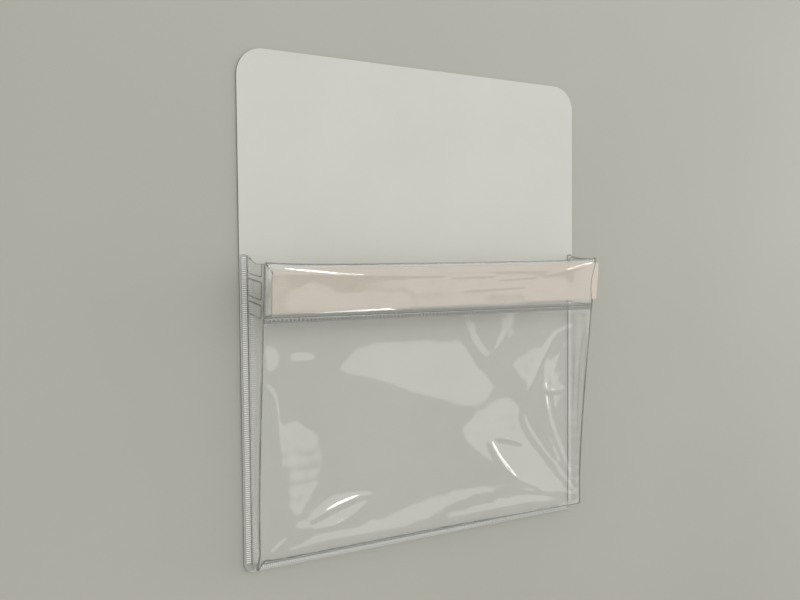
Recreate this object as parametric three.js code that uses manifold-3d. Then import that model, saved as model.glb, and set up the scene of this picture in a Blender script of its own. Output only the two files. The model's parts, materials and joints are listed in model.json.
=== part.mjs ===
// Magnetic document pocket: a magnetic backing sheet that carries a clear film pocket with square sides, and a
// clear label sleeve with a card along the pocket's front. Lengths are in millimetres. +Z is up as it hangs, -Y
// points out of the board, and the origin is the centre of the magnet's back face.

import * as THREE from "three";
import { mergeVertices } from "three/addons/utils/BufferGeometryUtils.js";
import Module from "manifold-3d";

const wasm = await Module();
wasm.setup();

// Backing: a flexible magnet with a white face sheet laminated on it
const sheetWidth = 244.5;
const sheetHeight = 300;
const topCornerRadius = 16;
const footCornerRadius = 5;
const cornerSteps = 8;
const magnetThickness = 0.7;
const faceThickness = 0.3;

// Clear film, and the gap that panels keep where they meet at a fold
const filmThickness = 0.4;
const foldGap = 0.3;

// Flanges: the film's rim, welded flat on the face sheet at both sides and along the foot
const sideFlangeWidth = 3.5;
const footFlangeHeight = 2.4;
const flangeThickness = 0.3;
const flangeTopRise = 0.6;
const flangeTopRadius = 1.2;
const flangeFootRadius = 3.2;
const sideMargin = 0.4;
const footMargin = 0.8;

// Ladder weld: a row of raised rungs across each flange
const sideWeldWidth = 2.7;
const footWeldHeight = 1.9;
const weldInset = 0.15;
const weldEndMargin = 1.3;
const cornerPlainHeight = 4.5;
const rungPitch = 1.2;
const rungHeight = 0.25;
const weldStep = 0.1;
const weldSink = 0.1;
const rungWidthShare = 0.6;

// Pocket: heights are above the sheet's foot, depths are out from the face sheet
const pocketHeight = 178.4;
const mouthSag = 1.3;
const mouthSagPower = 8;
const floorHeight = 3.6;
const footDepth = 13.5;
const mouthDepth = 28.5;
const creaseLeanAtFoot = -0.034;
const creaseLeanAtSleeve = 0.106;
const footArch = 5.8;
const footArchRun = 7;
const frontBulge = 3;
const frontColumns = 32;
const frontRows = 18;
const floorColumns = 32;
const floorRows = 3;

// Gussets, and the stiffened band at their top with three raised panes between pressed bars
const gussetRearRise = 4.2;
const gussetFrontDrop = 0.4;
const gussetTopCurveShares = [0.6, 0.25, 0.35];
const paneRise = 0.3;
const paneEdgeInset = 2.2;
const paneCornerRadius = 1.6;
const paneTopInset = 2;
const barHeightShares = [0.79, 0.41];
const barWidth = 2.4;
const barLean = 0.1;
const creaseSteps = 14;

// Label sleeve: a second film, welded at its foot and left end, folded over at the top and open at the right
const sleeveHeight = 33.4;
const sleeveInset = 0.3;
const sleeveThickness = 0.35;
const sleeveGap = 0.25;
const sleeveStripHeight = 2.9;
const sleeveEndRun = 3.8;
const sleeveColumns = 16;
const pillowRise = 1.4;
const pillowRun = 2.8;
const hemShoulderShare = 0.3;
const thumbCutDepth = 3;
const thumbCutRows = 10;

// Label card
const cardHeight = 24.7;
const cardThickness = 0.4;
const cardProud = 3.2;
const cardEndGap = 4;
const cardFootGap = 3.4;
const cardLift = 0.5;

// Colours, from the photograph
const magnetColour = 0x4a4943;
const faceColour = 0xecece6;
const filmColour = 0xdfe4de;
const weldColour = 0xeef0ea;
const cardColour = 0xd9cbbb;

// Places worked out from the sizes
const footZ = -sheetHeight / 2;
const faceY = -(magnetThickness + faceThickness);
const flangeInnerX = sheetWidth / 2 - sideMargin - sideFlangeWidth;
const gussetOuterX = flangeInnerX - foldGap;
const gussetInnerX = gussetOuterX - filmThickness;
const frontHalfWidth = gussetInnerX - foldGap;
const pocketTopZ = footZ + pocketHeight;
const bandFootZ = pocketTopZ - sleeveHeight;
const floorZ = footZ + floorHeight;
const hingeZ = floorZ + footArch;
const bandFootDepth = mouthDepth - creaseLeanAtSleeve * (pocketTopZ - bandFootZ);
const sleeveHalfWidth = frontHalfWidth - sleeveInset;
const sleeveLength = Math.hypot(1, creaseLeanAtSleeve) * sleeveHeight;
const gussetRearTopZ = pocketTopZ + gussetRearRise;
const gussetFrontTopZ = pocketTopZ - gussetFrontDrop;
const cardLength = 2 * sleeveHalfWidth - cardEndGap + cardProud;

const forward = new THREE.Vector3(0, -1, 0);
const right = new THREE.Vector3(1, 0, 0);
const up = new THREE.Vector3(0, 0, 1);

// Turns a geometry so that its own X and Y run along two directions, and moves it to an origin.
function placed(geometry, alongX, alongY, origin) {
  const alongZ = new THREE.Vector3().crossVectors(alongX, alongY);
  const matrix = new THREE.Matrix4().makeBasis(alongX, alongY, alongZ).setPosition(origin);
  return geometry.applyMatrix4(matrix);
}

function extruded(shape, depth) {
  return new THREE.ExtrudeGeometry(shape, { depth, bevelEnabled: false, curveSegments: 8 });
}

function toManifold(geometry) {
  const bare = geometry.clone();
  bare.deleteAttribute("normal");
  bare.deleteAttribute("uv");
  const merged = mergeVertices(bare);
  return new wasm.Manifold(
    new wasm.Mesh({
      numProp: 3,
      vertProperties: new Float32Array(merged.attributes.position.array),
      triVerts: new Uint32Array(merged.index.array),
    })
  );
}

// Joins closed geometries into one body.
function fused(...geometries) {
  const mesh = geometries.map(toManifold).reduce((sum, next) => sum.add(next)).getMesh();
  const geometry = new THREE.BufferGeometry();
  geometry.setAttribute("position", new THREE.BufferAttribute(mesh.vertProperties, 3));
  geometry.setIndex(new THREE.BufferAttribute(mesh.triVerts, 1));
  geometry.computeVertexNormals();
  return geometry;
}

// The same solid on the other side of the plane X = 0, with its faces turned to point out again.
function mirrored(geometry) {
  const copy = geometry.index ? geometry.toNonIndexed() : geometry.clone();
  copy.scale(-1, 1, 1);
  const { array } = copy.attributes.position;
  for (let i = 0; i < array.length; i += 9) {
    for (let k = 0; k < 3; k += 1) {
      [array[i + k], array[i + 6 + k]] = [array[i + 6 + k], array[i + k]];
    }
  }
  copy.computeVertexNormals();
  return copy;
}

// A film of even thickness over a grid. place(u, v, side) gives the point at column u and row v, on the outer
// face where side is 1 and on the inner face where side is -1. Each cell is split along the diagonal that
// stands further out, so that mitred corners keep their ridge.
function film(us, vs, place) {
  const columns = us.length;
  const count = columns * vs.length;
  const positions = [];
  for (const side of [1, -1]) {
    for (const v of vs) {
      for (const u of us) {
        positions.push(...place(u, v, side).toArray());
      }
    }
  }
  const out = (a, b) => positions[3 * a + 1] + positions[3 * b + 1];
  const faces = [];
  const quad = (a, b, c, d, crosswise) => {
    faces.push(...(crosswise ? [a, b, d, b, c, d] : [a, b, c, a, c, d]));
  };
  for (let j = 0; j + 1 < vs.length; j += 1) {
    for (let i = 0; i + 1 < columns; i += 1) {
      const a = j * columns + i;
      const [b, c, d] = [a + 1, a + 1 + columns, a + columns];
      const crosswise = out(b, d) < out(a, c);
      quad(a, b, c, d, crosswise);
      faces.push(...(crosswise
        ? [a, d, b, b, d, c].map((n) => n + count)
        : [a, c, b, a, d, c].map((n) => n + count)));
    }
  }
  const loop = [
    ...us.map((_, i) => i),
    ...vs.slice(1).map((_, j) => (j + 2) * columns - 1),
    ...us.slice(1).map((_, i) => count - 2 - i),
    ...vs.slice(1, -1).map((_, j) => (vs.length - 2 - j) * columns),
  ];
  loop.forEach((p, n) => {
    const q = loop[(n + 1) % loop.length];
    faces.push(p, p + count, q + count, p, q + count, q);
  });
  const geometry = new THREE.BufferGeometry();
  geometry.setAttribute("position", new THREE.Float32BufferAttribute(positions, 3));
  geometry.setIndex(faces);
  geometry.computeVertexNormals();
  return geometry;
}

// Even shares from 0 to 1, or only 0 where there are no steps.
function shares(steps) {
  return Array.from({ length: steps + 1 }, (_, i) => i / Math.max(1, steps));
}

// A rectangle from (x0, y0) to (x1, y1) with its own radius at each corner.
function roundedRectangle(x0, y0, x1, y1, { footLeft = 0, footRight = 0, topRight = 0, topLeft = 0 }) {
  const corners = [
    [x1 - footRight, y0 + footRight, footRight, -Math.PI / 2],
    [x1 - topRight, y1 - topRight, topRight, 0],
    [x0 + topLeft, y1 - topLeft, topLeft, Math.PI / 2],
    [x0 + footLeft, y0 + footLeft, footLeft, Math.PI],
  ];
  const points = corners.flatMap(([x, y, radius, start]) =>
    shares(radius > 0 ? cornerSteps : 0).map((t) => {
      const angle = start + (t * Math.PI) / 2;
      return new THREE.Vector2(x + radius * Math.cos(angle), y + radius * Math.sin(angle));
    })
  );
  return new THREE.Shape(points);
}

function backingSheet(thickness, backY) {
  const shape = roundedRectangle(-sheetWidth / 2, footZ, sheetWidth / 2, -footZ, {
    footLeft: footCornerRadius,
    footRight: footCornerRadius,
    topRight: topCornerRadius,
    topLeft: topCornerRadius,
  });
  return placed(extruded(shape, thickness), right, up, new THREE.Vector3(0, backY, 0));
}

// The side profile of a row of rungs that fills a length: each rung is a low roof with a flat between.
function rungProfile(length) {
  const count = Math.floor(length / rungPitch);
  const first = (length - count * rungPitch) / 2;
  const half = (rungPitch * rungWidthShare) / 2;
  const shape = new THREE.Shape();
  shape.moveTo(0, -weldSink);
  shape.lineTo(length, -weldSink);
  shape.lineTo(length, weldStep);
  for (let i = count - 1; i >= 0; i -= 1) {
    const middle = first + (i + 0.5) * rungPitch;
    shape.lineTo(middle + half, weldStep);
    shape.lineTo(middle, weldStep + rungHeight);
    shape.lineTo(middle - half, weldStep);
  }
  shape.lineTo(0, weldStep);
  return shape;
}

// One side's flange: -1 is the left one and 1 the right one.
function sideFlange(side) {
  const foot = footZ + footMargin;
  const top = gussetRearTopZ + flangeTopRise;
  const outerX = flangeInnerX + sideFlangeWidth;
  const outline = side < 0
    ? roundedRectangle(-outerX, foot, -flangeInnerX, top, { footLeft: flangeFootRadius, topLeft: flangeTopRadius })
    : roundedRectangle(flangeInnerX, foot, outerX, top, { footRight: flangeFootRadius, topRight: flangeTopRadius });
  const plate = placed(extruded(outline, flangeThickness), right, up, new THREE.Vector3(0, faceY, 0));
  const weldX = side < 0 ? -flangeInnerX - weldInset - sideWeldWidth : flangeInnerX + weldInset;
  const weldFoot = foot + cornerPlainHeight;
  const ladder = placed(
    extruded(rungProfile(top - weldEndMargin - weldFoot), sideWeldWidth),
    up,
    forward,
    new THREE.Vector3(weldX, faceY - flangeThickness, weldFoot)
  );
  return fused(plate, ladder);
}

function footFlange() {
  const foot = footZ + footMargin;
  const outline = roundedRectangle(-gussetOuterX, foot, gussetOuterX, foot + footFlangeHeight, {});
  const plate = placed(extruded(outline, flangeThickness), right, up, new THREE.Vector3(0, faceY, 0));
  const length = 2 * (gussetOuterX - weldEndMargin);
  const ladder = placed(
    extruded(rungProfile(length), footWeldHeight),
    right,
    forward,
    new THREE.Vector3(-length / 2, faceY - flangeThickness, foot + footFlangeHeight - weldInset)
  );
  return fused(plate, ladder);
}

// Depth of the front crease's film middle at a height: straight where the sleeve lies, and below it a curve that
// starts at the foot with its own lean.
function creaseDepth(z) {
  if (z >= bandFootZ) {
    return bandFootDepth + creaseLeanAtSleeve * (z - bandFootZ);
  }
  const run = bandFootZ - floorZ;
  const t = Math.max(0, (z - floorZ) / run);
  const foot = footDepth + creaseLeanAtFoot * run * (t ** 3 - 2 * t ** 2 + t);
  const rise = (bandFootDepth - footDepth) * (3 * t ** 2 - 2 * t ** 3);
  return foot + rise + creaseLeanAtSleeve * run * (t ** 3 - t ** 2);
}

// Height of the floor's front edge: low at the corners, arched up between them.
function frontFootZ(x) {
  const t = Math.min(1, (frontHalfWidth - Math.abs(x)) / footArchRun);
  return floorZ + footArch * t * t * (3 - 2 * t);
}

function frontSwell(x, z) {
  const t = Math.max(0, (z - hingeZ) / (bandFootZ - hingeZ));
  if (t >= 1) {
    return 0;
  }
  return frontBulge * (1 - (x / frontHalfWidth) ** 2) * Math.sin(Math.PI * t);
}

// How far the mouth's front edge hangs below its corners.
function mouthDrop(x) {
  return mouthSag * (1 - Math.abs(x / frontHalfWidth) ** mouthSagPower);
}

function frontPanel() {
  const rows = [
    ...shares(frontRows).map((t) => (foot) => foot + t * (bandFootZ - foot)),
    (foot, x) => pocketTopZ - mouthDrop(x),
  ];
  return film(shares(frontColumns), rows, (u, row, side) => {
    const x = frontHalfWidth * (2 * u - 1);
    const z = row(frontFootZ(x), x);
    const depth = creaseDepth(z) + frontSwell(x, z) + (side * filmThickness) / 2;
    return new THREE.Vector3(x, faceY - depth, z);
  });
}

function floorPanel() {
  const frontDepth = footDepth - filmThickness / 2 - foldGap;
  return film(shares(floorColumns), shares(floorRows), (u, v, side) => {
    const x = frontHalfWidth * (2 * u - 1);
    const depth = foldGap + v * (frontDepth - foldGap);
    const z = floorZ + v * (frontFootZ(x) - floorZ) + ((1 - side) * filmThickness) / 2;
    return new THREE.Vector3(x, faceY - depth, z);
  });
}

// Outlines of the gusset, with X out from the face sheet and Y up.
function creaseEdge(shape, fromZ, toZ) {
  for (const t of shares(creaseSteps)) {
    const z = fromZ + t * (toZ - fromZ);
    shape.lineTo(creaseDepth(z) + filmThickness / 2, z);
  }
}

function gussetPlate(shape, thickness, outerX) {
  return placed(extruded(shape, thickness), forward, up, new THREE.Vector3(outerX, faceY, 0));
}

function leftGusset() {
  const shape = new THREE.Shape();
  shape.moveTo(foldGap, floorZ);
  creaseEdge(shape, floorZ, bandFootZ - foldGap);
  shape.lineTo(foldGap, bandFootZ - foldGap);
  return gussetPlate(shape, filmThickness, -gussetInnerX);
}

// A raised pane: a four-sided outline with rounded corners, from its rear and front heights.
function paneShape(rearFoot, frontFoot, frontTop, rearTop) {
  const rear = foldGap + paneEdgeInset;
  const front = (z) => creaseDepth(z) - paneEdgeInset;
  const corners = [
    new THREE.Vector2(rear, rearFoot),
    new THREE.Vector2(front(frontFoot), frontFoot),
    new THREE.Vector2(front(frontTop), frontTop),
    new THREE.Vector2(rear, rearTop),
  ];
  const shape = new THREE.Shape();
  corners.forEach((corner, i) => {
    const before = corners[(i + 3) % 4];
    const after = corners[(i + 1) % 4];
    const towards = (end) => corner.clone().add(end.clone().sub(corner).setLength(paneCornerRadius));
    const [start, end] = [towards(before), towards(after)];
    if (i === 0) {
      shape.moveTo(start.x, start.y);
    } else {
      shape.lineTo(start.x, start.y);
    }
    shape.quadraticCurveTo(corner.x, corner.y, end.x, end.y);
  });
  return shape;
}

function leftGussetBand() {
  const front = creaseDepth(gussetFrontTopZ) + filmThickness / 2;
  const [sagRunShare, flickRunShare, flickRiseShare] = gussetTopCurveShares;
  const outline = new THREE.Shape();
  outline.moveTo(foldGap, bandFootZ);
  outline.lineTo(creaseDepth(bandFootZ) + filmThickness / 2, bandFootZ);
  outline.lineTo(front, gussetFrontTopZ);
  outline.bezierCurveTo(
    front * sagRunShare,
    gussetFrontTopZ,
    front * flickRunShare,
    gussetFrontTopZ + (gussetRearTopZ - gussetFrontTopZ) * flickRiseShare,
    foldGap,
    gussetRearTopZ
  );
  const plate = gussetPlate(outline, filmThickness, -gussetInnerX);
  const bars = barHeightShares.map((share) => bandFootZ + share * sleeveHeight);
  const edges = [
    gussetRearTopZ - paneTopInset,
    ...bars.flatMap((z) => [z + barWidth / 2, z - barWidth / 2]),
    bandFootZ + barLean * front + paneTopInset,
  ];
  const panes = [0, 2, 4].map((i) => {
    const [top, foot] = [edges[i], edges[i + 1]];
    const shape = paneShape(foot, foot - barLean * front, top - barLean * front, top);
    return gussetPlate(shape, paneRise + filmThickness / 2, -gussetInnerX - filmThickness / 2);
  });
  return fused(plate, ...panes);
}

// The sleeve, in its own frame: X right, Z up the front film, -Y out from it. Rows run up from the weld strip
// over the pillowed window to the fold that covers the front film's top edge.
function sleeveWindow() {
  const seat = sleeveGap + sleeveThickness / 2;
  const lid = foldGap + sleeveThickness / 2;
  const windowFoot = sleeveStripHeight + pillowRun;
  const rows = [
    { s: () => 0, rise: 0, tilt: 0 },
    { s: () => sleeveStripHeight, rise: 0, tilt: 0 },
    ...shares(thumbCutRows).map((t) => ({
      s: (top) => windowFoot + t * (top - pillowRun - windowFoot),
      rise: 1,
      tilt: 0,
    })),
    { s: (top) => top, rise: hemShoulderShare, tilt: Math.PI / 4 },
    { s: (top) => top + lid, rise: 0, out: 0, tilt: Math.PI / 2 },
    { s: (top) => top + lid, rise: 0, out: -filmThickness, tilt: Math.PI / 2 },
  ];
  const width = 2 * sleeveHalfWidth;
  const windowEnd = width - pillowRun;
  const columns = [0, ...shares(sleeveColumns).map((t) => sleeveEndRun + t * (windowEnd - sleeveEndRun)), width];
  return film(columns, rows, (u, { s, rise, out, tilt }, side) => {
    const height = s(sleeveLength - mouthDrop(u - sleeveHalfWidth));
    const t = THREE.MathUtils.clamp((height - sleeveStripHeight) / (sleeveLength - sleeveStripHeight), 0, 1);
    const cut = u === width ? thumbCutDepth * Math.sin(Math.PI * t) : 0;
    const pillow = pillowRise * Math.min(rise, u / sleeveEndRun);
    const offset = (side * sleeveThickness) / 2;
    const depth = (out ?? seat + pillow) + offset * Math.cos(tilt);
    return new THREE.Vector3(u - sleeveHalfWidth - cut, -depth, height + offset * Math.sin(tilt));
  });
}

function labelCard() {
  const geometry = new THREE.BoxGeometry(cardLength, cardThickness, cardHeight);
  return geometry.translate(
    -sleeveHalfWidth + cardEndGap + cardLength / 2,
    -cardLift - cardThickness / 2,
    sleeveStripHeight + cardFootGap + cardHeight / 2
  );
}

const magnet = new THREE.MeshStandardMaterial({ color: magnetColour, roughness: 0.85, metalness: 0 });
const face = new THREE.MeshStandardMaterial({ color: faceColour, roughness: 0.45, metalness: 0 });
const clear = new THREE.MeshStandardMaterial({ color: filmColour, roughness: 0.12, metalness: 0 });
const welded = new THREE.MeshStandardMaterial({ color: weldColour, roughness: 0.3, metalness: 0 });
const card = new THREE.MeshStandardMaterial({ color: cardColour, roughness: 0.8, metalness: 0 });

function named(name, geometry, material) {
  const mesh = new THREE.Mesh(geometry, material.clone());
  mesh.name = name;
  return mesh;
}

const backing = new THREE.Group();
backing.add(
  named("magnet_sheet", backingSheet(magnetThickness, 0), magnet),
  named("white_face_sheet", backingSheet(faceThickness, -magnetThickness), face),
  named("left_flange", sideFlange(-1), welded),
  named("right_flange", sideFlange(1), welded),
  named("foot_flange", footFlange(), welded)
);

const pocket = new THREE.Group();
const gusset = leftGusset();
const gussetBand = leftGussetBand();
pocket.add(
  named("left_gusset", gusset, clear),
  named("right_gusset", mirrored(gusset), clear),
  named("left_gusset_band", gussetBand, clear),
  named("right_gusset_band", mirrored(gussetBand), clear),
  named("floor_panel", floorPanel(), clear),
  named("front_panel", frontPanel(), clear)
);

const label = new THREE.Group();
label.position.set(0, faceY - bandFootDepth - filmThickness / 2, bandFootZ);
label.rotation.x = Math.atan(creaseLeanAtSleeve);
label.add(named("sleeve_window", sleeveWindow(), clear), named("label_card", labelCard(), card));

const part = new THREE.Group();
part.add(backing, pocket, label);

export default part;
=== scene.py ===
import json
import math

import bpy
import numpy as np
from mathutils import Matrix, Vector, noise


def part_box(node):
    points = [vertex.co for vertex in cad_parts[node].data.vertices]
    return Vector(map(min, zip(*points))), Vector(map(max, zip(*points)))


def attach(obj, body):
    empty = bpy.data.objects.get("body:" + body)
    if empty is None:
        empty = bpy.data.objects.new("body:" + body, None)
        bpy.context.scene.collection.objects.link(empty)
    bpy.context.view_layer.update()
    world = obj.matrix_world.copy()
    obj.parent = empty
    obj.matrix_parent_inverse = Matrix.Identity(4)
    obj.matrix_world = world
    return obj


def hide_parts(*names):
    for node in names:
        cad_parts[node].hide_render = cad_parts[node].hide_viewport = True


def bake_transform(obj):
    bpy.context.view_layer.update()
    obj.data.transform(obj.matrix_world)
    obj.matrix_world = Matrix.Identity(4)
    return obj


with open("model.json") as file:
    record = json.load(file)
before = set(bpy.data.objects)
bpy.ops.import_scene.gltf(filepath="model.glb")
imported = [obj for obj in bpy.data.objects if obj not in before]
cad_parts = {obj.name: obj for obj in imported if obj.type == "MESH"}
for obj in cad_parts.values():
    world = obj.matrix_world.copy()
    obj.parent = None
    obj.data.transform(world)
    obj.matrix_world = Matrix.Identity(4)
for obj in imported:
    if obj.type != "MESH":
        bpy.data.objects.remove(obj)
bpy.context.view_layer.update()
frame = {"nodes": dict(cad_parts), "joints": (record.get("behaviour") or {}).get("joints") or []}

# Lengths are in metres, and a size in millimetres is written with this factor
MM = 0.001

# Films
FILM = 0.4 * MM
SLEEVE_FILM = 0.35 * MM
SHARP_ANGLE = math.radians(38)
LINE_WIDTH = 0.32 * MM
BROAD_LINE = 1.6 * LINE_WIDTH

# How a film's relief is fitted to its patches: grid, shortest half waves, the tilt's margin, how much a place
# that is met still counts, what stiffness and height cost, the rounds, and the error share that is enough
FIT_STEP = 2 * MM
HALF_WAVE_ACROSS = 5.3 * MM
HALF_WAVE_UP = 4.9 * MM
TILT_MARGIN = 0.011
MET_WEIGHT = 0.03
STIFFNESS = 0.02 * MM ** 2
HEIGHT_WEIGHT = 2e-5 / MM ** 2
FIT_ROUNDS = 12
FIT_STEPS = 120
FIT_SOLVED = 1e-12

# Fold lines: how many places a curve has, where its fading stops short of an end, and how steep the fading is
PATH_STEPS = 220
RIDGE_END = 0.02
RIDGE_FADE = 0.7

# Front film: grid, soft bulge between its creases, waves, and how near the creases its form fades out
FRONT_STEP = 0.95 * MM
FRONT_FINE = 0.3 * MM
FRONT_BULGE = 1.0 * MM
FRONT_FADE = 3.0 * MM
WAVES = ((34 * MM, 0.10 * MM), (13 * MM, 0.02 * MM))

# The front's foot: pinched down at the left corner, where the front is also drawn in, and lower to the right
LEFT_PINCH = 3.5 * MM
RIGHT_DROP = 1.6 * MM
CORNER_PULL = 4.5 * MM
CORNER_RISE = 11 * MM
CORNER_RUN = 14 * MM

# The mouth's front edge stands higher at its right end than at its left
MOUTH_LIFT_RIGHT = 1.4 * MM
MOUTH_LIFT_LEFT = -0.5 * MM

# Gusset: how far its film stands off the sheet at the weld, grid, the raised panes between pressed bars, and
# the fold that turns onto the front film from a share of the way on
SEAT = 0.35 * MM
GUSSET_STEP = 0.4 * MM
GUSSET_LOWER_STEP = 1.2 * MM
GUSSET_FINE = 0.15 * MM
GUSSET_FOLD = 0.5 * MM
FOLD_START = 0.97
PANE_RISE = 0.4 * MM
PANE_EDGE = 0.6 * MM
PANE_INSET = 2.2 * MM
PANE_RADIUS = 1.6 * MM
BAR_SHARES = (0.79, 0.41)
BAR_WIDTH = 2.4 * MM
BAR_LEAN = 0.1
PANE_TOP_GAP = 1.2 * MM
PANE_FOOT_GAP = 4.6 * MM

# How far the left gusset's top ends below the mouth, how far its lazy S runs and how steeply, the right top's
# sag, and the slack of both gussets with its run
LEFT_TOP_DROP = 0.3 * MM
LEFT_TOP_RUN = 0.72
LEFT_TOP_EASE = 0.8
RIGHT_TOP_SAG = 0.8 * MM
GUSSET_SLACK = 0.5 * MM
SLACK_RUN = 21 * MM

# Rolled folds along the pocket's front creases, and the thinner one along its foot
CREASE_RADIUS = 0.55 * MM
FOOT_CREASE_SHARE = 0.8
CREASE_STEPS = 160
FOOT_CREASE_STEPS = 180

# The floor's grid, how steeply it rises, and how broad the shade painted along its weld is as a share of the
# way
FLOOR_COLUMNS = 200
FLOOR_ROWS = 14
FLOOR_EASE = 0.9
FLOOR_LINE = 0.05

# Sleeve, in its own frame: u to the right from its left end, s up the front film, h out from it
STRIP_HEIGHT = 2.9 * MM
PILLOW_RISE = 1.5 * MM
PILLOW_FOOT_RUN = 2.2 * MM
PILLOW_TOP_RUN = 5.5 * MM
PILLOW_END_RUN = 3.8 * MM
HEM_RISE_SHARE = 0.68
HEM_LID = 0.5 * MM
HEM_DOTS = 100 * MM
HEM_DOTS_REACH = 1.4
THUMB_CUT = 3.0 * MM
THUMB_CUT_RUN = 22 * MM
RUNG_PITCH = 1.2 * MM
RUNG_RISE = 0.16 * MM
SLEEVE_SEAT = 0.2 * MM
SLEEVE_STEP = 0.8 * MM
SLEEVE_FINE = 0.25 * MM
STRIP_STEP = 0.3 * MM
STRIP_FINE = 0.15 * MM
RUNG_MARGIN = 0.5 * MM
RUNG_EDGE = 0.3 * MM
FORM_FOOT_GAP = 5 * MM
FORM_TOP_GAP = 6 * MM
PILLOW_FOOT_ROWS = 12
WINDOW_ROWS = 64
PILLOW_TOP_ROWS = 18
HEM_ROWS = 6
SLEEVE_BELLY = 1.1 * MM
SLEEVE_FOLD_WIDTH = 0.85 * MM
SLEEVE_FOLD_FADE = 0.6

# How broad the painted shade is at the mitres of the sleeve's closed end, as shares of its rise, and how dark
# its painted shade is: strip and hem between the rungs and by how much more on them, closed end, foot and
# edges
# The strip's darker rungs are its weld's own pattern; all the rest is painted shade and painted dark
# reflection
MITRE_LINE = 0.1
TOP_MITRE_LINE = 0.12
STRIP_SHADE_AND_RUNGS = (0.5, 0.4)
HEM_SHADE_AND_DOTS = (0.65, 0.3)
END_SHADE = 0.14
FOOT_SHADE = 0.4
FOOT_SHADE_RISE = 0.8
EDGE_SHADE = 0.9

# Folds along the sleeve's window: start and end from the left, how far below the top at both, and height, in
# millimetres
SLEEVE_FOLDS = (
    (4, 62, 2.0, 6.9, 0.14),
    (10, 114, 5.2, 7.2, 0.30),
    (118, 151, 8.2, 8.0, 0.28),
    (152, 182, 10.9, 9.6, 0.24),
    (128, 182, 16.6, 15.6, 0.20),
    (192, 233, 8.8, 2.6, 0.36),
)

# A lip that the window's foot rolls up into: its slope, and how far it runs up at three places from the left
LIP_SLOPE = 0.333
LIP_PLACES = (16 * MM, 76 * MM, 84 * MM)
LIP_RUNS = (0, 1.6 * MM, 0)

# Label card
CARD_HEIGHT = 24.7 * MM
CARD_FOOT_GAP = 3.4 * MM
CARD_THICKNESS = 0.4 * MM
CARD_LIFT = 0.55 * MM
CARD_TILT = math.radians(0.55)
CARD_CORNER = 1.0 * MM
CARD_CORNER_STEPS = 4

# The room: heights of a direction, from -1 straight down to 1 straight up, and their tones. Below the step it
# is dim, and above it are pale walls.
ROOM_STEP = -0.285
ROOM = ((-1, 0.36), (ROOM_STEP - 0.01, 0.38), (ROOM_STEP + 0.01, 0.85), (0.3, 0.85), (1, 0.82))

# The same sideways, from -1 at the left to 1 at the right: a lighter left wall and a darker upright band
SIDEWAYS = ((-1, 1.35), (-0.52, 1.25), (-0.47, 0.40), (-0.32, 0.40), (-0.27, 1.05), (0.1, 1.0))

# Camera and its lens, from the photograph's perspective
CAMERA_PLACE = Vector((-263.4, -440.6, 25.6)) * MM
CAMERA_AIM = Vector((0.4862, 0.87283, -0.04212))
CAMERA_ROLL = math.radians(-0.5)
CAMERA_LENS = 36
SENSOR_WIDTH = 36
CAMERA_NEAR = 10 * MM

# Lamps: name, place, what it shines on, width and height, and power in watts
LAMPS = (
    ("long window", (1.05, -1.25, 0.47), (0, 0, -0.03), (2.0, 0.14), 4.2),
    ("right window", (2.2, -0.55, 0.1), (0, 0, -0.05), (0.6, 1.3), 9),
    ("front light", (-0.15, -1.6, 0.62), (0, 0, 0), (1.1, 0.45), 6.5),
)

# Board: half its width, how far it reaches behind the magnet, and the gap to it
BOARD_REACH = 1.6
BOARD_LAP = 1.0 * MM
BOARD_GAP = 0.15 * MM

# Film looks: how much of the sheen is mirror rather than haze, the roughness, the tone of the shade painted
# along folds, creases and cuts, and how solid the film looks at a glancing angle
FILM_MIRROR = 0.8
FILM_ROUGHNESS = 0.05
LINE_SHADE_TINT = (0.16, 0.17, 0.155, 1)
GRAZING_ALPHA = 0.8

# The ladder weld's painted highlight grows over this height above its film's face
WELD_FLAT = 0.38 * MM
WELD_RISE = 0.22 * MM


# The frame's places

def node_points(name):
    return np.array([v.co for v in frame["nodes"][name].data.vertices])


FACE_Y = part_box("white_face_sheet")[0].y
SHEET_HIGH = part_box("magnet_sheet")[1]
GUSSET_X = (abs(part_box("left_gusset")[0].x) + abs(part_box("left_gusset")[1].x)) / 2
FRONT_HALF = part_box("front_panel")[1].x
FLOOR_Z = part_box("left_gusset")[0].z
BAND_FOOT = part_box("left_gusset_band")[0].z
MOUTH_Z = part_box("front_panel")[1].z
GUSSET_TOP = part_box("left_gusset_band")[1].z
HINGE = frame["joints"][0]["pos_m"]

front_cloud = node_points("front_panel")


def outline(keys, values, pick):
    """Sorted keys and, for each, the picked value, from a cloud's rows and columns."""
    found = {}
    for key, value in zip(np.round(keys, 6), values):
        found[key] = pick(found.get(key, value), value)
    ordered = sorted(found)
    return np.array(ordered), np.array([found[k] for k in ordered])


edge_rows = front_cloud[front_cloud[:, 0] > FRONT_HALF - 0.1 * MM]
crease_z, crease_y = outline(edge_rows[:, 2], edge_rows[:, 1], min)
arch_z = outline(front_cloud[:, 0], front_cloud[:, 2], min)[1].max()
mouth_x, mouth_z = outline(front_cloud[:, 0], front_cloud[:, 2], max)


def crease_depth(z):
    """How far the film's middle at the front crease stands out from the face sheet."""
    return FACE_Y - np.interp(z, crease_z, crease_y) - FILM / 2


SLEEVE_LEAN = (crease_depth(MOUTH_Z) - crease_depth(BAND_FOOT)) / (MOUTH_Z - BAND_FOOT)


# Meshes

def smooth_step(t):
    t = np.clip(t, 0, 1)
    return t * t * (3 - 2 * t)


def mesh_object(name, vertices, faces):
    mesh = bpy.data.meshes.new(name)
    mesh.from_pydata([tuple(v) for v in vertices], [], [tuple(int(i) for i in f) for f in faces])
    mesh.update()
    mesh.shade_smooth()
    mesh.set_sharp_from_angle(angle=SHARP_ANGLE)
    obj = bpy.data.objects.new(name, mesh)
    bpy.context.scene.collection.objects.link(obj)
    return obj


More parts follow.
